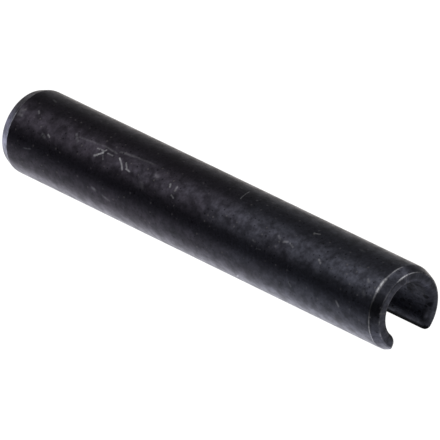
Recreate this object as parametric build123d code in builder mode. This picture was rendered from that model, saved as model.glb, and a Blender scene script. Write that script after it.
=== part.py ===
"""Slotted spring pin (roll pin), heavy duty, nominal 6 mm x 40 mm.

A strip of spring steel rolled into an open C and hardened. The pin is a little larger than its
hole while it is free, and the slot closes as it is driven in. Both ends carry a lead-in taper.

Frame: +X runs along the pin's axis, the slot faces -Z, and the origin is on the axis at mid-length,
so the pin lies on the two outer edges of its slot.
"""

from build123d import *
import os

# Driving dimensions, in millimetres and degrees
pin_length = 40.0
free_diameter = 6.6  # across the barrel, before the pin is driven into its 6 mm hole
wall_thickness = 1.2  # gauge of the strip
slot_angle = 70.0  # part of the circle left open between the strip's two edges
lead_in_length = 0.8  # of the taper at each end, along the axis
lead_in_depth = 0.3  # of the same taper, taken off the radius
slot_inner_round = 0.6  # rolled-over corner of the strip's edge, on the bore side
slot_outer_round = 0.15  # corner of the same edge on the barrel side
end_edge_round = 0.45  # tumbled edge where each end meets the bore and the slot

outer_radius = free_diameter / 2
mean_radius = outer_radius - wall_thickness / 2
end_x = pin_length / 2
envelope_radius = 1.5 * outer_radius  # the turned envelope's waist, well clear of the barrel
taper_run = lead_in_length / lead_in_depth * (envelope_radius - outer_radius) + lead_in_length

with BuildPart() as spring_pin:
    # The strip's section: a C carried along its mean line, its edges rolled over on the bore side
    with BuildSketch(Plane.YZ.offset(-end_x)) as rolled_strip:
        with BuildLine():
            CenterArc((0, 0), mean_radius, slot_angle / 2 - 90, 360 - slot_angle)
        trace(line_width=wall_thickness)
        fillet(rolled_strip.vertices().sort_by_distance((0, 0))[:2], slot_inner_round)
    extrude(amount=pin_length)

    # The edge between each end face and the bore, which runs on round the slot's corners
    end_faces = spring_pin.faces().filter_by(Plane.YZ)
    end_arcs = end_faces.edges().filter_by(GeomType.CIRCLE).sort_by(Edge.length)
    fillet(end_arcs[4:6], end_edge_round)

    # The slot's outer corners, round the ends as well; these are the lowest edges along the pin
    long_edges = spring_pin.edges().filter_by(Axis.X)
    fillet(long_edges.group_by(Axis.Z)[0], slot_outer_round)

    # The lead-in tapers: what lies inside a cone at each end is kept
    with BuildSketch(Plane.XZ):
        with BuildLine():
            Polyline(
                (-end_x, 0),
                (-end_x, outer_radius - lead_in_depth),
                (-end_x + taper_run, envelope_radius),
                (end_x - taper_run, envelope_radius),
                (end_x, outer_radius - lead_in_depth),
                (end_x, 0),
                close=True,
            )
        make_face()
    revolve(axis=Axis.X, mode=Mode.INTERSECT)

spring_pin.part.label = "spring_pin"

os.makedirs("parts", exist_ok=True)
export_step(spring_pin.part, "parts/spring_pin.step")
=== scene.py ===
"""Looks of a slotted spring pin in black oxide steel, lying on its slot on a white light table."""

import logging
import math
from dataclasses import dataclass
from typing import Any

import bpy
import numpy as np
from mathutils import Matrix, Quaternion, Vector


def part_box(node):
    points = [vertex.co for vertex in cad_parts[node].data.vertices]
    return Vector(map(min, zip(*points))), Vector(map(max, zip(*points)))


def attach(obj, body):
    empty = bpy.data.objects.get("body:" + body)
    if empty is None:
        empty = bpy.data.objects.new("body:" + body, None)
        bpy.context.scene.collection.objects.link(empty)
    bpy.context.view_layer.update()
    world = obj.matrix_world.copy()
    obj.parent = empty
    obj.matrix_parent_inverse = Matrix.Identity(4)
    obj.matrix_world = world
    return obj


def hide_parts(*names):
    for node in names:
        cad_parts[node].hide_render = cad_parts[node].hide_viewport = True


MM = 0.001  # metres in a millimetre, the unit of every size below
FRAME_WIDTH = 440  # pixels across the square frame
WHITE = "ffffff"
NOISE_SPAN = (0.3, 0.7)  # the values that cloudy noise seldom leaves
SMOOTH = {"interpolation_type": "SMOOTHSTEP"}  # for a Map Range node
Socket = bpy.types.NodeSocket

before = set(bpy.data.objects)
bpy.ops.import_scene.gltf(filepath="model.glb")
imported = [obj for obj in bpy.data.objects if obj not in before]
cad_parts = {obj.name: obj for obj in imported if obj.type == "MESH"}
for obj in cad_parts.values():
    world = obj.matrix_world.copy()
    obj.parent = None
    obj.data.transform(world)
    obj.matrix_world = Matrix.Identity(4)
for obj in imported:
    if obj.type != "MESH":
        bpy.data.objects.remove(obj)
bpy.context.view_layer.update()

log = logging.getLogger("spring_pin")


def linear(hex_colour: str, alpha: float = 1.0) -> tuple[float, float, float, float]:
    """Turns an sRGB hex colour into the linear values that a shader socket takes.

    Args:
        hex_colour: Six hex digits, red first, without a hash.
        alpha: The fourth value.

    Returns:
        Linear red, green, blue and alpha.
    """
    srgb = np.array([int(hex_colour[i : i + 2], 16) for i in (0, 2, 4)]) / 255
    low, high = srgb / 12.92, ((srgb + 0.055) / 1.055) ** 2.4
    red, green, blue = np.where(srgb <= 0.04045, low, high)
    return float(red), float(green), float(blue), alpha


def towards(azimuth: float, elevation: float) -> Vector:
    """Unit vector away from the pin: degrees from -Y towards +X, and degrees above the floor."""
    turn, rise = math.radians(azimuth), math.radians(elevation)
    return Vector((math.sin(turn) * math.cos(rise), -math.cos(turn) * math.cos(rise), math.sin(rise)))


@dataclass
class NodeBench:
    """A node tree under construction."""

    tree: bpy.types.NodeTree

    @classmethod
    def cleared(cls, owner: bpy.types.Material | bpy.types.World) -> "NodeBench":
        """Empties the node tree of a material or world.

        Args:
            owner: The material or world.

        Returns:
            A bench on that tree.
        """
        owner.use_nodes = True
        owner.node_tree.nodes.clear()
        return cls(owner.node_tree)

    def add(
        self,
        kind: str,
        sockets: dict[str | int, Any] | list[Any] | None = None,
        out: int | str = 0,
        **settings: Any,
    ) -> Any:
        """Adds a node with its settings and links.

        Args:
            kind: The node's type, such as "ShaderNodeMath".
            sockets: Plain values, or the output sockets that feed them: a list in the order of the
                node's inputs, or a dictionary by input.
            out: The output that is wanted.
            settings: Properties of the node itself.

        Returns:
            The wanted output, or the node where it has none.
        """
        node = self.tree.nodes.new(kind)
        for name, value in settings.items():
            setattr(node, name, value)
        fed = sockets if isinstance(sockets, dict) else dict(enumerate(sockets or []))
        for socket, value in fed.items():
            if isinstance(value, Socket):
                self.tree.links.new(value, node.inputs[socket])
            else:
                node.inputs[socket].default_value = value
        return node.outputs[out] if len(node.outputs) else node


def quarter_round(distance: np.ndarray, radius: float) -> np.ndarray:
    """How far a round stands back, `distance` from its end: its radius less the circle's height."""
    inside = np.clip(radius - distance, 0, radius)
    return radius - np.sqrt(radius**2 - inside**2)


@dataclass
class RolledPin:
    """The pin's own skin: a C-shaped section carried along X, in millimetres."""

    length: float
    outer_radius: float
    wall: float = 1.2
    slot_half_angle: float = math.radians(35)
    lead_in_length: float = 0.8
    lead_in_depth: float = 0.3
    end_edge_round: float = 0.45  # where each end meets the bore and the slot
    face_edge_round: float = 0.10  # between the lead-in taper and the end face
    taper_edge_round: float = 0.03  # how far the taper's start is rubbed down
    slot_inner_round: float = 0.6
    slot_outer_round: float = 0.15
    station_pitch: float = 0.14  # between sections, away from the ends
    blend_reach: float = 0.2  # to either side of the taper's start, where sections stand closer
    round_steps: int = 7  # steps in the mesh, from here on: along an end's rounded edge
    taper_steps: int = 2
    blend_steps: int = 12
    face_steps: int = 4  # along half of a slot face
    corner_steps: int = 6
    arc_steps: int = 112
    cap_steps: int = 4  # across the strip on an end face

    @property
    def bore_radius(self) -> float:
        """The barrel's radius less the wall."""
        return self.outer_radius - self.wall

    def end_distances(self) -> np.ndarray:
        """Distances of the sections near an end, closer together where an edge is rounded.

        In words: equal steps round each quarter circle, and equal steps along the taper and across
        its start.

        Returns:
            Sorted distances from the end face, rounded so that none comes twice.
        """
        turn = np.linspace(0, math.pi / 2, self.round_steps + 1)
        rounds = [radius * (1 - np.cos(turn)) for radius in (self.face_edge_round, self.end_edge_round)]
        taper_end = self.lead_in_length - self.blend_reach
        taper = np.linspace(self.end_edge_round, taper_end, self.taper_steps + 1)
        blend = np.linspace(-self.blend_reach, self.blend_reach, self.blend_steps + 1)
        return np.unique(np.concatenate([*rounds, taper, self.lead_in_length + blend]).round(4))

    def stations(self) -> np.ndarray:
        """Where the sections stand: both ends' distances, with equal steps of the pitch between them.

        Returns:
            Places along X, from end to end.
        """
        near = self.end_distances()
        half = self.length / 2
        count = round((self.length - 2 * near[-1]) / self.station_pitch)
        middle = np.linspace(near[-1] - half, half - near[-1], count + 1)[1:-1]
        return np.concatenate([near - half, middle, (half - near)[::-1]])

    def insets(self, x: np.ndarray) -> tuple[np.ndarray, np.ndarray]:
        """How far the barrel, and the bore and slot faces, stand back from their full size.

        In words: the taper falls in a straight line from its start to the end face, its start is
        blended by a hyperbola, and a quarter round finishes it at the end face.

        Args:
            x: Places along the pin.

        Returns:
            The barrel's inset, and the bore's and slot faces' inset, at each place.
        """
        from_end = self.length / 2 - np.abs(x)
        fall = self.lead_in_depth * (1 - from_end / self.lead_in_length)
        barrel = (fall + np.sqrt(fall**2 + self.taper_edge_round**2)) / 2
        barrel += quarter_round(from_end, self.face_edge_round)
        return barrel, quarter_round(from_end, self.end_edge_round)

    def half_section(
        self, wall_radius: np.ndarray, corner: np.ndarray, outward: int, back: np.ndarray
    ) -> np.ndarray:
        """One side of the strip, from the middle of one slot face round to the middle of the other.

        In words: up the slot face, round the strip's corner on a circle, and along the wall's arc;
        the second half is the first one mirrored.

        Args:
            wall_radius: Radius of the barrel or bore at each station.
            corner: Radius of the strip's corner on that side, at each station.
            outward: 1 for the barrel, -1 for the bore.
            back: How far the slot face stands back at each station.

        Returns:
            Radius and angle from the slot's middle, shaped (station, step, 2).
        """
        inner_centre = self.bore_radius + self.slot_inner_round
        outer_centre = self.outer_radius - self.lead_in_depth - self.slot_outer_round
        face_middle = (inner_centre + outer_centre) / 2
        rise = np.linspace(0, 1, self.face_steps + 1)[:-1]
        turn = np.linspace(0, math.pi / 2, self.corner_steps + 1)[:-1]
        wall_radius, corner, back = wall_radius[:, None], corner[:, None], back[:, None]
        centre = wall_radius - outward * corner
        face = face_middle + (centre - face_middle) * rise
        radius = np.hstack([face, centre + outward * corner * np.sin(turn)])
        depth = back + np.hstack([np.zeros_like(face), corner * (1 - np.cos(turn))])
        angle = self.slot_half_angle + np.arcsin(depth / radius)
        start = self.slot_half_angle + np.arcsin((back + corner) / wall_radius)
        arc = start + (2 * math.pi - 2 * start) * np.linspace(0, 1, self.arc_steps + 1)
        arc_radius = np.broadcast_to(wall_radius, arc.shape)
        radii = np.hstack([radius, arc_radius, radius[:, ::-1]])
        angles = np.hstack([angle, arc, 2 * math.pi - angle[:, ::-1]])
        return np.stack([radii, angles], axis=-1)

    def sections(self) -> tuple[np.ndarray, np.ndarray]:
        """Every section as a closed ring: along the barrel side, and back along the bore side.

        Returns:
            The stations, and the rings as (station, step, radius and angle).
        """
        x = self.stations()
        barrel_inset, edge_inset = self.insets(x)
        outer_corner = np.full_like(x, self.slot_outer_round)
        inner_corner = self.slot_inner_round - edge_inset
        barrel = self.half_section(self.outer_radius - barrel_inset, outer_corner, 1, edge_inset)
        bore = self.half_section(self.bore_radius + edge_inset, inner_corner, -1, edge_inset)
        return x, np.concatenate([barrel, bore[:, -2:0:-1]], axis=1)

    def end_cap(
        self, ring: np.ndarray, index: np.ndarray, first_new: int
    ) -> tuple[np.ndarray, np.ndarray, np.ndarray]:
        """Closes an end face with a ladder of faces, from the barrel side across to the bore side.

        In words: each step along the strip has a rung of points spread evenly between its two sides,
        and as the sides meet in the middle of each slot face, the outermost faces are triangles.

        Args:
            ring: Radius and angle of the end's section.
            index: The number of each of its points in the mesh.
            first_new: The number of the first point that the cap adds.

        Returns:
            The added points as radius and angle, the quads, and the triangles.
        """
        steps = len(ring) // 2
        inner = np.roll(ring[::-1], 1, axis=0)
        share = np.linspace(0, 1, self.cap_steps + 1)[None, 1:-1, None]
        added = (ring[1:steps, None] * (1 - share) + inner[1:steps, None] * share).reshape(-1, 2)
        ladder = np.empty((steps + 1, self.cap_steps + 1), int)
        ladder[:, 0] = index[: steps + 1]
        ladder[:, -1] = np.roll(index[::-1], 1)[: steps + 1]
        ladder[1:-1, 1:-1] = first_new + np.arange(len(added)).reshape(steps - 1, -1)
        ladder[0], ladder[-1] = index[0], index[steps]
        body = ladder[1:-1]
        quads = np.stack([body[:-1, :-1], body[:-1, 1:], body[1:, 1:], body[1:, :-1]], axis=-1)
        first = np.stack([ladder[0, :-1], ladder[1, 1:], ladder[1, :-1]], axis=-1)
        last = np.stack([ladder[-1, :-1], ladder[-2, :-1], ladder[-2, 1:]], axis=-1)
        return added, quads.reshape(-1, 4), np.concatenate([first, last])

    def build(self, name: str) -> bpy.types.Object:
        """Makes the closed skin as one mesh object at the origin, in metres.

        In words: neighbouring rings are joined by quads and each end has its cap; a point's place is
        its X, with its radius and angle turned into Y and Z. Each point also keeps its place on the
        unrolled strip, in millimetres: round the barrel, along it, and its radius.

        Args:
            name: The object's name.

        Returns:
            The skin, linked to the scene.
        """
        x, rings = self.sections()
        index = np.arange(rings[..., 0].size).reshape(rings.shape[:2])
        ahead = np.roll(index, -1, axis=1)
        points = [np.column_stack([np.repeat(x, rings.shape[1]), rings.reshape(-1, 2)])]
        quads = [np.stack([index[:-1], ahead[:-1], ahead[1:], index[1:]], axis=-1).reshape(-1, 4)]
        triangles = []
        total = index.size
        for end, order in ((0, 1), (-1, -1)):
            added, cap_quads, cap_triangles = self.end_cap(rings[end], index[end], total)
            points.append(np.column_stack([np.full(len(added), x[end]), added]))
            quads.append(cap_quads[:, ::order])
            triangles.append(cap_triangles[:, ::order])
            total += len(added)
        along, radius, turn = np.concatenate(points).T
        places = np.column_stack([along, -radius * np.sin(turn), -radius * np.cos(turn)]) * MM
        strip = np.column_stack([(turn - math.pi) * self.outer_radius, along, radius])
        faces = np.concatenate(quads).tolist() + np.concatenate(triangles).tolist()
        mesh = bpy.data.meshes.new(name)
        mesh.from_pydata(places.tolist(), [], faces)
        mesh.update()
        mesh.shade_smooth()
        unrolled = mesh.attributes.new("unrolled", "FLOAT_VECTOR", "POINT")
        unrolled.data.foreach_set("vector", strip.astype(np.float32).ravel())
        skin = bpy.data.objects.new(name, mesh)
        bpy.context.scene.collection.objects.link(skin)
        return skin


@dataclass(frozen=True)
class Scratch:
    """One straight stroke where the oxide is scuffed, or an edge is rubbed down to the steel."""

    x_from: float  # mm along the pin
    turn_from: float  # degrees round it, 0 at -Y and 90 at the top
    x_to: float
    turn_to: float
    width: float  # mm to either side, over which it fades
    bright: float  # share of bare steel at its middle
    depth: float = 0.0  # mm under the barrel's radius

    def ends(self, barrel_radius: float) -> list[tuple[float, float, float]]:
        """Both ends as places on the unrolled strip.

        Args:
            barrel_radius: The barrel's radius in millimetres.

        Returns:
            Each end as millimetres round the barrel, along it, and from its axis.
        """
        both = ((self.x_from, self.turn_from), (self.x_to, self.turn_to))
        radius = barrel_radius - self.depth
        return [(math.radians(turn - 90) * barrel_radius, x, radius) for x, turn in both]


SCRATCHES = (
    # crossing strokes, a quarter of the way along
    Scratch(-10.5, 46, -10.3, 48, 0.14, 0.7),
    Scratch(-10.5, 46, -9.9, 54, 0.10, 0.8),
    Scratch(-10.1, 52, -9.8, 59, 0.09, 0.6),
    Scratch(-10.6, 56, -9.9, 57, 0.08, 0.4),
    Scratch(-9.5, 56, -9.0, 56, 0.09, 0.35),
    Scratch(-9.8, 51, -9.6, 46, 0.10, 0.2),
    Scratch(-8.3, 57, -7.8, 51, 0.10, 0.7),
    Scratch(-7.8, 51, -7.5, 45, 0.10, 0.55),
    Scratch(-7.5, 55, -7.1, 48, 0.10, 0.4),
    Scratch(-7.2, 48, -6.8, 47, 0.10, 0.5),
    # faint drags beside them
    Scratch(-12.7, 59, -10.1, 63, 0.13, 0.08),
    Scratch(-10.1, 63, -8.8, 61, 0.11, 0.14),
    Scratch(-8.6, 65, -7.2, 68, 0.13, 0.2),
    Scratch(-7.2, 68, -5.2, 70, 0.12, 0.14),
    Scratch(-13.1, 61, -12.6, 53, 0.15, 0.16),
    # nicks and dull spots, from there to the middle
    Scratch(-9.9, 5, -9.6, 4, 0.18, 0.28),
    Scratch(-8.8, 1, -8.1, -2, 0.14, 0.2),
    Scratch(-4.5, 58, -4.2, 56, 0.25, 0.12),
    Scratch(-5.3, 40, -5.0, 36, 0.22, 0.1),
    Scratch(-2.8, 55, -2.7, 52, 0.13, 0.45),
    Scratch(-2.1, 50, -2.1, 56, 0.12, 0.35),
    Scratch(-2.2, 43, -1.9, 41, 0.10, 0.35),
    # from the middle to the +X end
    Scratch(3.3, 80, 3.1, 99, 0.07, 0.65),
    Scratch(6.6, 37, 6.9, 36, 0.10, 0.25),
    Scratch(7.2, 29, 7.6, 30, 0.08, 0.3),
    Scratch(10.9, 81, 11.4, 84, 0.10, 0.8),
    Scratch(8.6, 56, 8.9, 53, 0.12, 0.2),
    Scratch(9.3, 52, 9.6, 54, 0.14, 0.22),
    Scratch(9.9, 54, 10.3, 51, 0.12, 0.2),
    Scratch(13.0, 51, 13.3, 48, 0.13, 0.35),
    Scratch(10.9, 7, 11.1, 2, 0.13, 0.2),
    Scratch(15.8, 12, 16.1, 7, 0.14, 0.45),
    Scratch(15.2, 91, 15.6, 90, 0.13, 0.25),
    Scratch(18.0, 40, 18.3, 35, 0.20, 0.12),
    Scratch(17.9, 56, 18.1, 53, 0.16, 0.2),
    Scratch(4.8, -32, 5.1, -27, 0.10, 0.7),
    # near the -X end
    Scratch(-15.4, 44, -15.2, 42, 0.11, 0.5),
    Scratch(-15.9, 41, -15.6, 39, 0.17, 0.2),
    Scratch(-17.3, 14, -16.6, 17, 0.08, 0.35),
    Scratch(-17.5, 94, -17.1, 92, 0.12, 0.3),
    Scratch(-17.5, 67, -17.3, 64, 0.10, 0.3),
    Scratch(-18.9, 51, -18.6, 52, 0.22, 0.14),
    Scratch(-18.9, 57, -18.7, 60, 0.26, 0.14),
    # rubbed lines on the +X end: where its taper starts, then on its face's rim
    Scratch(19.2, 34, 19.2, 76, 0.11, 0.55),
    Scratch(19.2, 47, 19.2, 66, 0.17, 1.0),
    Scratch(20.0, 72, 20.0, 122, 0.09, 0.6, 0.3),
    Scratch(20.0, 77, 20.0, 92, 0.12, 1.0, 0.3),
    Scratch(20.0, 128, 20.0, 208, 0.16, 0.75, 0.3),
)


@dataclass(frozen=True)
class Mottle:
    """One layer of cloudy noise in the oxide skin."""

    pitch: tuple[float, float, float]  # a lump's size in mm: round the barrel, along it and inwards
    octaves: float
    shift: float = 0.0  # moves the layer along, so that no two look alike
    shine: tuple[float, float] = (1.0, 1.0)  # what its low and high values scale the skin's colour by
    fineness: float = 0.6  # how much of each octave the next one keeps

    def value(self, bench: NodeBench, strip: Socket) -> Socket:
        """Lays the noise out, about 0.5 on average.

        Args:
            bench: The material's tree.
            strip: Place on the unrolled strip, in millimetres.

        Returns:
            The noise value.
        """
        scale = [1 / size for size in self.pitch]
        place = {"Vector": strip, "Location": [self.shift] * 3, "Scale": scale}
        laid = bench.add("ShaderNodeMapping", place)
        cloud = {"Vector": laid, "Scale": 1.0, "Detail": self.octaves, "Roughness": self.fineness}
        return bench.add("ShaderNodeTexNoise", cloud, out="Fac")


@dataclass(frozen=True)
class Specks:
    """Small round grains or pits, at most one to a cell of a loose mesh laid on the strip."""

    pitch: float  # mm, a cell's size
    smallest: float  # mm, radius
    largest: float
    chance: float  # share of the cells that hold one
    cover: float  # how much of its colour covers the skin
    softness: float = 0.08  # of a cell, over which a speck's edge fades

    def value(self, bench: NodeBench, strip: Socket) -> Socket:
        """Finds the specks: each cell's own colour draws its speck's size, and whether it has one.

        Args:
            bench: The material's tree.
            strip: Place on the unrolled strip, in millimetres. Its radius is left out.

        Returns:
            How much of the specks' colour covers the skin, nothing beside them.
        """
        loose = {"Vector": strip, "Scale": 1 / self.pitch}
        cell = bench.add("ShaderNodeTexVoronoi", loose, feature="F1", voronoi_dimensions="2D").node
        first, second, _ = bench.add("ShaderNodeSeparateColor", [cell.outputs["Color"]]).node.outputs
        sizes = [first, 0.0, 1.0, self.smallest / self.pitch, self.largest / self.pitch]
        size = bench.add("ShaderNodeMapRange", sizes, **SMOOTH)
        inside = bench.add("ShaderNodeMath", [size, cell.outputs["Distance"]], operation="SUBTRACT")
        speck = bench.add("ShaderNodeMapRange", [inside, 0.0, self.softness, 0.0, self.cover], **SMOOTH)
        chosen = bench.add("ShaderNodeMath", [second, self.chance], operation="LESS_THAN")
        return bench.add("ShaderNodeMath", [speck, chosen], operation="MULTIPLY")


@dataclass(frozen=True)
class BlackOxide:
    """Black oxide over hardened spring steel, grown in a hot salt bath on a pickled, tumbled strip.

    It gives the eye a thin near-black magnetite skin that shines like dark glass under oil, mottled
    where the steel's own grain takes the bath unevenly, and grey where tumbling has rubbed it off.
    The etched grain is finer than the frame can show, so it is drawn a fifth of a millimetre wide.
    """

    pin: RolledPin
    plum: str = "3e3a42"  # the skin's shade at the end that stayed longest in the bath
    blue: str = "474851"  # and at the other
    steel: str = "c8c8cc"  # bare metal where the skin is rubbed through
    dust_grey: str = "8d8883"
    pit_black: str = "141418"
    drift_span: tuple[float, float] = (-8.0, 15.0)  # mm along the pin, over which plum turns to blue
    drift_wander: float = 22.0  # mm by which the clouds move that change
    roughness: float = 0.37
    roughness_swing: float = 0.05  # up in dark patches and down in light ones
    dust_roughness: float = 0.4  # added under full dust
    bore_roughness: float = 0.15  # added in the bore, which tumbling hardly reaches
    relief_height: float = 0.007  # mm, from the grain's lows to its highs
    patch_relief: float = 0.6  # the patches' relief beside the grain's
    grain: Mottle = Mottle((0.22, 0.22, 0.4), 4.0, 0.0, (0.82, 1.19))
    patches: Mottle = Mottle((0.7, 0.85, 0.8), 3.0, 7.0, (0.62, 1.42))
    clouds: Mottle = Mottle((3.5, 6.0, 3.0), 2.0, 1.3, (0.92, 1.08))
    rubs: Mottle = Mottle((0.7, 0.2, 0.5), 2.0, 5.0)
    pits: Specks = Specks(0.47, 0.03, 0.09, 0.4, 0.7)  # left by the strip's rolling
    scale: Specks = Specks(0.85, 0.12, 0.30, 0.6, 0.7)  # dark flakes, in the bore only
    dust: Specks = Specks(0.55, 0.03, 0.10, 0.3, 0.22)
    bore_band: tuple[float, float] = (0.5, 0.2)  # mm outside the bore's radius, where it fades in
    barrel_band: tuple[float, float] = (0.1, 0.03)  # mm inside the barrel's, where its edge fades in
    face_band: tuple[float, float] = (0.12, 0.02)  # mm from the end face, where its rim fades in
    rub_width: float = 0.09  # mm to either side of a rubbed edge
    rim_inset: float = 0.03  # mm, by which the rim's rub stands inside the rim
    rim_share: float = 0.45  # the rim's rub beside the taper's
    rub_gaps: tuple[float, float] = (0.42, 0.62)  # noise values, from between rubs to on one
    rub_least: float = 0.15  # an edge's bareness between its rubs
    rub_more: float = 0.55  # and what a rub adds
    rub_break: tuple[float, ...] = (0.25, 0.6, 0.4, 1.0)  # two grain values, and a rub's share at each
    scuff_break: tuple[float, ...] = (0.36, 0.6, 0.5, 1.0)  # the same for a scratch

    def material(self) -> bpy.types.Material:
        """Lays the skin's colour, wear, pits, dust and relief over each other.

        Returns:
            The finish.
        """
        finish = bpy.data.materials.new("black_oxide_steel")
        bench = NodeBench.cleared(finish)
        strip = bench.add("ShaderNodeAttribute", out="Vector", attribute_name="unrolled")
        _, along, radius = bench.add("ShaderNodeSeparateXYZ", [strip]).node.outputs
        grain = self.grain.value(bench, strip)
        patches = self.patches.value(bench, strip)
        clouds = self.clouds.value(bench, strip)

        rubbed = self.rubbed_edges(bench, strip, along, radius, grain)
        bare = bench.add("ShaderNodeMath", [rubbed, self.scuffs(bench, strip, grain)], operation="MAXIMUM")
        bore_edge = [self.pin.bore_radius + reach for reach in self.bore_band]
        in_bore = bench.add("ShaderNodeMapRange", [radius, *bore_edge], **SMOOTH)
        flakes = bench.add("ShaderNodeMath", [self.scale.value(bench, strip), in_bore], operation="MULTIPLY")
        pitted = bench.add("ShaderNodeMath", [self.pits.value(bench, strip), flakes], operation="MAXIMUM")
        dusty = self.dust.value(bench, strip)
        colour = self.skin_colour(bench, along, grain, patches, clouds)
        for cover, shade in ((bare, self.steel), (pitted, self.pit_black), (dusty, self.dust_grey)):
            layers = {0: cover, 6: colour, 7: linear(shade)}
            colour = bench.add("ShaderNodeMix", layers, out=2, data_type="RGBA")

        dull, bright = self.roughness + self.roughness_swing, self.roughness - self.roughness_swing
        rough = bench.add("ShaderNodeMapRange", [patches, *NOISE_SPAN, dull, bright], **SMOOTH)
        for where, more in ((dusty, self.dust_roughness), (in_bore, self.bore_roughness)):
            rough = bench.add("ShaderNodeMath", [where, more, rough], operation="MULTIPLY_ADD")

        height = bench.add("ShaderNodeMath", [patches, self.patch_relief, grain], operation="MULTIPLY_ADD")
        bump = {"Height": height, "Strength": 1.0, "Distance": self.relief_height * MM}
        relief = bench.add("ShaderNodeBump", bump)
        metal = bench.add("ShaderNodeMath", [1.0, dusty], operation="SUBTRACT")
        surface = {"Base Color": colour, "Metallic": metal, "Roughness": rough, "Normal": relief}
        shader = bench.add("ShaderNodeBsdfPrincipled", surface)
        bench.add("ShaderNodeOutputMaterial", {"Surface": shader})
        return finish

    def skin_colour(
        self, bench: NodeBench, along: Socket, grain: Socket, patches: Socket, clouds: Socket
    ) -> Socket:
        """The unworn skin: plum turning to blue along the pin, dimmed and brightened by the mottling.

        Args:
            bench: The material's tree.
            along: Millimetres along the pin.
            grain: The finest layer of noise.
            patches: The middle layer.
            clouds: The widest layer, which also makes the change of shade wander.

        Returns:
            The colour.
        """
        off = bench.add("ShaderNodeMath", [clouds, 0.5], operation="SUBTRACT")
        drift = bench.add("ShaderNodeMath", [off, self.drift_wander, along], operation="MULTIPLY_ADD")
        share = bench.add("ShaderNodeMapRange", [drift, *self.drift_span], **SMOOTH)
        shades = {0: share, 6: linear(self.plum), 7: linear(self.blue)}
        colour = bench.add("ShaderNodeMix", shades, out=2, data_type="RGBA")
        for noise, mottle in ((grain, self.grain), (patches, self.patches), (clouds, self.clouds)):
            shine = bench.add("ShaderNodeMapRange", [noise, *NOISE_SPAN, *mottle.shine], **SMOOTH)
            colour = bench.add("ShaderNodeVectorMath", {0: colour, 3: shine}, operation="SCALE")
        return colour

    def rubbed_edges(
        self, bench: NodeBench, strip: Socket, along: Socket, radius: Socket, grain: Socket
    ) -> Socket:
        """Edges that tumbling has rubbed grey: where the tapers start, and the end faces' rims.

        In words: a narrow line on each edge, its strength broken up by noise.

        Args:
            bench: The material's tree.
            strip: Place on the unrolled strip, in millimetres.
            along: Millimetres along the pin.
            radius: Millimetres from its axis.
            grain: The finest layer of noise.

        Returns:
            Share of bare steel.
        """
        off_middle = bench.add("ShaderNodeMath", [along], operation="ABSOLUTE")
        depth = bench.add("ShaderNodeMath", [self.pin.length / 2, off_middle], operation="SUBTRACT")
        barrel = [self.pin.outer_radius - reach for reach in self.barrel_band]
        rim_radius = self.pin.outer_radius - self.pin.lead_in_depth - self.rim_inset
        lines = []
        for place, edge, across, band in (
            (depth, self.pin.lead_in_length, radius, barrel),
            (radius, rim_radius, depth, self.face_band),
        ):
            off = bench.add("ShaderNodeMath", [place, edge], operation="SUBTRACT")
            off = bench.add("ShaderNodeMath", [off], operation="ABSOLUTE")
            line = bench.add("ShaderNodeMapRange", [off, self.rub_width, 0.0], **SMOOTH)
            here = bench.add("ShaderNodeMapRange", [across, *band], **SMOOTH)
            lines.append(bench.add("ShaderNodeMath", [line, here], operation="MULTIPLY"))
        taper, rim = lines
        rim = bench.add("ShaderNodeMath", [rim, self.rim_share], operation="MULTIPLY")
        edge = bench.add("ShaderNodeMath", [taper, rim], operation="MAXIMUM")
        broken = bench.add("ShaderNodeMapRange", [grain, *self.rub_break], **SMOOTH)
        edge = bench.add("ShaderNodeMath", [edge, broken], operation="MULTIPLY")
        rub = bench.add("ShaderNodeMapRange", [self.rubs.value(bench, strip), *self.rub_gaps], **SMOOTH)
        worn = bench.add("ShaderNodeMath", [rub, self.rub_more, self.rub_least], operation="MULTIPLY_ADD")
        return bench.add("ShaderNodeMath", [edge, worn], operation="MULTIPLY")

    def scuffs(self, bench: NodeBench, strip: Socket, grain: Socket) -> Socket:
        """The strokes in SCRATCHES, the strongest one where two cross, broken up by the grain.

        Args:
            bench: The material's tree.
            strip: Place on the unrolled strip, in millimetres.
            grain: The finest layer of noise.

        Returns:
            Share of bare steel.
        """
        group = self.stroke_group()
        total = 0.0
        for mark in SCRATCHES:
            start, end = mark.ends(self.pin.outer_radius)
            sockets = {"Place": strip, "From": start, "To": end, "Width": mark.width, "Bright": mark.bright}
            stroke = bench.add("ShaderNodeGroup", sockets, node_tree=group)
            total = bench.add("ShaderNodeMath", [total, stroke], operation="MAXIMUM")
        broken = bench.add("ShaderNodeMapRange", [grain, *self.scuff_break], **SMOOTH)
        return bench.add("ShaderNodeMath", [total, broken], operation="MULTIPLY")

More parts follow.
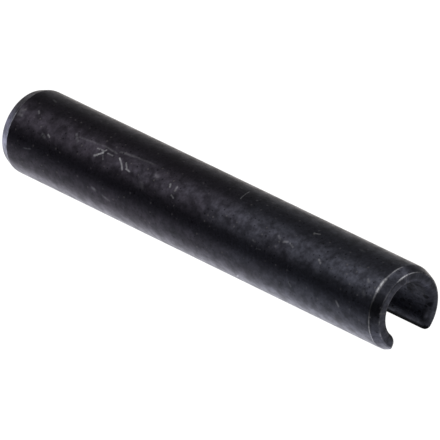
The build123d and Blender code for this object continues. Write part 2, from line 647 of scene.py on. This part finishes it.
    def stroke_group(self) -> bpy.types.NodeTree:
        """How near a place is to a straight stroke.

        In words: the place is measured from the stroke's nearest point, which its share of the way
        along gives, and the mark fades from the stroke's line to its width.

        Returns:
            A group with the mark's strength as its output.
        """
        group = bpy.data.node_groups.new("scratch", "ShaderNodeTree")
        kinds = {"Place": "Vector", "From": "Vector", "To": "Vector", "Width": "Float", "Bright": "Float"}
        for name, kind in kinds.items():
            group.interface.new_socket(name, in_out="INPUT", socket_type=f"NodeSocket{kind}")
        group.interface.new_socket("Mark", in_out="OUTPUT", socket_type="NodeSocketFloat")
        bench = NodeBench(group)
        given = bench.add("NodeGroupInput").node.outputs
        reach = bench.add("ShaderNodeVectorMath", [given["Place"], given["From"]], operation="SUBTRACT")
        run = bench.add("ShaderNodeVectorMath", [given["To"], given["From"]], operation="SUBTRACT")
        onto = bench.add("ShaderNodeVectorMath", [reach, run], out="Value", operation="DOT_PRODUCT")
        square = bench.add("ShaderNodeVectorMath", [run, run], out="Value", operation="DOT_PRODUCT")
        share = bench.add("ShaderNodeMath", [onto, square], operation="DIVIDE", use_clamp=True)
        nearest = bench.add("ShaderNodeVectorMath", {0: run, 3: share}, operation="SCALE")
        gap = bench.add("ShaderNodeVectorMath", [reach, nearest], out="Value", operation="DISTANCE")
        part = bench.add("ShaderNodeMath", [gap, given["Width"]], operation="DIVIDE")
        near = bench.add("ShaderNodeMath", [1.0, part], operation="SUBTRACT", use_clamp=True)
        mark = bench.add("ShaderNodeMath", [near, given["Bright"]], operation="MULTIPLY")
        bench.add("NodeGroupOutput", {"Mark": mark})
        return group


@dataclass(frozen=True)
class BacklitAcrylic:
    """Opal acrylic lit from behind: an even white glow that no shadow shows on."""

    glow: float = 1.1

    def material(self) -> bpy.types.Material:
        """The even glow.

        Returns:
            The finish.
        """
        acrylic = bpy.data.materials.new("backlit_acrylic")
        bench = NodeBench.cleared(acrylic)
        light = bench.add("ShaderNodeEmission", {"Color": linear(WHITE), "Strength": self.glow})
        bench.add("ShaderNodeOutputMaterial", {"Surface": light})
        return acrylic


@dataclass(frozen=True)
class SoftShade:
    """Painted shade of the pin on the acrylic, laid as a glowing sheet: bright at the near edge, dark
    further in.
    """

    fade: tuple[float, float] = (0.3, 1.3)  # mm along Y, from the brightest to the darkest
    glow: tuple[float, float] = (1.2, 0.03)

    def material(self) -> bpy.types.Material:
        """The fading glow of the painted shade.

        Returns:
            The finish.
        """
        shade = bpy.data.materials.new("table_shade")
        bench = NodeBench.cleared(shade)
        place = bench.add("ShaderNodeTexCoord", out="Object")
        _, across, _ = bench.add("ShaderNodeSeparateXYZ", [place]).node.outputs
        start, end = (edge * MM for edge in self.fade)
        glow = bench.add("ShaderNodeMapRange", [across, start, end, *self.glow], **SMOOTH)
        light = bench.add("ShaderNodeEmission", {"Color": linear(WHITE), "Strength": glow})
        bench.add("ShaderNodeOutputMaterial", {"Surface": light})
        return shade


@dataclass(frozen=True)
class SoftSource:
    """One soft patch of the studio's surroundings, as the pin sees it."""

    azimuth: float  # degrees, 0 from -Y and 90 from +X, as the camera's
    elevation: float  # degrees above the floor
    inner: float  # degrees from its middle to where it starts to fade
    outer: float  # degrees to where it has faded
    strength: float
    tint: str = WHITE


@dataclass
class Studio:
    """Camera, light table and soft surroundings."""

    distance: float = 990.0  # mm from the pin, about 150 diameters
    azimuth: float = 48.45  # degrees, 0 from -Y and 90 from +X
    elevation: float = 30.84
    roll: float = -4.2
    pixels_per_mm: float = 13.687
    centre_px: tuple[float, float] = (217.745, 218.631)  # where the pin's middle falls in the frame
    sensor: float = 36.0
    table_edges: tuple[float, ...] = (-400.0, 400.0, -400.0, 400.0)  # left, right, near and far
    # where the sheet of painted shade lies under the pin: left, right, near and far edge
    shade_edges: tuple[float, ...] = (-20.5, 20.3, 0.3, 2.9)
    shade_lift: float = 0.05  # over the table
    sources: tuple[SoftSource, ...] = (
        # the light table, as the pin reflects it: its whole glow, and its brighter middle
        SoftSource(0, -90, 60, 86, 0.53),
        SoftSource(0, -90, 34, 52, 0.6, "f1f1ff"),
        # on the camera's left, from low to high
        SoftSource(-102, -47, 6, 25, 0.70, "f1f1ff"),
        SoftSource(-84, -14, 7, 29, 3.2, "e4eaff"),
        SoftSource(-106, 6, 6, 24, 0.55),
        SoftSource(-62, 45, 3, 36, 0.68),
        SoftSource(-42, 58, 3, 13, 1.4),
        SoftSource(-30, 68, 5, 36, 0.26),
        # behind the pin
        SoftSource(-144, 0, 4, 33, 0.32),
        SoftSource(-137, -22, 4, 21, 0.65, "fff4ec"),
        SoftSource(-172, -26, 6, 32, 0.5, "fff0e2"),
        SoftSource(-168, 62, 10, 31, 0.9),
        # on the camera's right
        SoftSource(138, 38, 8, 30, 1.6),
        SoftSource(66, 42, 8, 42, 0.6),
    )

    def build(self, floor_height: float) -> None:
        """Makes the camera, the light table and the surroundings.

        Args:
            floor_height: Height of the table in millimetres.
        """
        self.add_camera()
        self.add_table(floor_height)
        self.add_shade(floor_height)
        self.light_room()

    def add_camera(self) -> None:
        """A long lens, rolled a little, aimed so that the pin's middle falls on its pixel."""
        back = towards(self.azimuth, self.elevation)
        level = towards(self.azimuth + 90, 0)
        right = Quaternion(back, math.radians(self.roll)) @ level
        up = back.cross(right)
        middle = FRAME_WIDTH / 2
        aim = right * (middle - self.centre_px[0]) / self.pixels_per_mm
        aim += up * (self.centre_px[1] - middle) / self.pixels_per_mm
        lens = bpy.data.cameras.new("long_lens")
        lens.sensor_width = self.sensor
        lens.lens = self.sensor * self.distance * self.pixels_per_mm / FRAME_WIDTH
        lens.clip_start, lens.clip_end = self.distance * MM / 100, self.distance * MM * 10
        camera = bpy.data.objects.new("camera", lens)
        bpy.context.scene.collection.objects.link(camera)
        camera.location = (aim + back * self.distance) * MM
        camera.rotation_mode = "QUATERNION"
        camera.rotation_quaternion = Matrix((right, up, back)).transposed().to_quaternion()
        bpy.context.scene.camera = camera

    def add_sheet(self, name: str, edges: tuple[float, ...], height: float) -> bpy.types.Object:
        """Lays one flat rectangle.

        Args:
            name: The object's name.
            edges: Left, right, near and far edge in millimetres.
            height: Its height in millimetres.

        Returns:
            The sheet, linked to the scene.
        """
        left, right, near, far = edges
        corners = [(left, near, height), (right, near, height), (right, far, height), (left, far, height)]
        mesh = bpy.data.meshes.new(name)
        mesh.from_pydata((np.array(corners) * MM).tolist(), [], [(0, 1, 2, 3)])
        sheet = bpy.data.objects.new(name, mesh)
        bpy.context.scene.collection.objects.link(sheet)
        return sheet

    def add_table(self, floor_height: float) -> None:
        """The light table. Reflections miss it, and the first two sources stand for it there."""
        table = self.add_sheet("light_table", self.table_edges, floor_height)
        table.data.materials.append(BacklitAcrylic().material())
        table.visible_glossy = False

    def add_shade(self, floor_height: float) -> None:
        """Painted shade of the pin on the table: a glowing sheet which only reflections see."""
        patch = self.add_sheet("table_shade", self.shade_edges, floor_height + self.shade_lift)
        patch.data.materials.append(SoftShade().material())
        patch.visible_camera = patch.visible_diffuse = patch.visible_shadow = False

    def light_room(self) -> None:
        """A dark room with soft sources, which the camera itself sees as plain white.

        In words: each source is a cone of light that fades smoothly from its inner to its outer
        angle, and the room's light is their sum.
        """
        world = bpy.data.worlds.new("studio")
        bench = NodeBench.cleared(world)
        sight = bench.add("ShaderNodeTexCoord", out="Generated")
        total = (0.0, 0.0, 0.0)
        for source in self.sources:
            aim = [sight, towards(source.azimuth, source.elevation)]
            facing = bench.add("ShaderNodeVectorMath", aim, out="Value", operation="DOT_PRODUCT")
            outer, inner = (math.cos(math.radians(angle)) for angle in (source.outer, source.inner))
            patch = bench.add("ShaderNodeMapRange", [facing, outer, inner, 0.0, source.strength], **SMOOTH)
            tinted = {0: linear(source.tint)[:3], 3: patch}
            light = bench.add("ShaderNodeVectorMath", tinted, operation="SCALE")
            total = bench.add("ShaderNodeVectorMath", [total, light], operation="ADD")
        straight = bench.add("ShaderNodeLightPath", out="Is Camera Ray")
        seen = bench.add("ShaderNodeMix", {0: straight, 6: total, 7: linear(WHITE)}, out=2, data_type="RGBA")
        background = bench.add("ShaderNodeBackground", {"Color": seen, "Strength": 1.0})
        bench.add("ShaderNodeOutputWorld", {"Surface": background})
        bpy.context.scene.world = world


def main() -> None:
    """Builds the pin and the studio, and reports each piece."""
    logging.basicConfig(level=logging.INFO, format="%(name)s: %(message)s")
    low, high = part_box("spring_pin")
    pin = RolledPin(length=(high.x - low.x) / MM, outer_radius=high.z / MM)
    skin = pin.build("pin_skin")
    skin.data.materials.append(BlackOxide(pin).material())
    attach(skin, "root")
    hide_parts("spring_pin")
    log.info("pin_skin: %d faces", len(skin.data.polygons))
    bpy.context.scene.view_settings.view_transform = "Standard"
    Studio().build(low.z / MM)
    log.info("studio built")


if __name__ == "__main__":
    main()
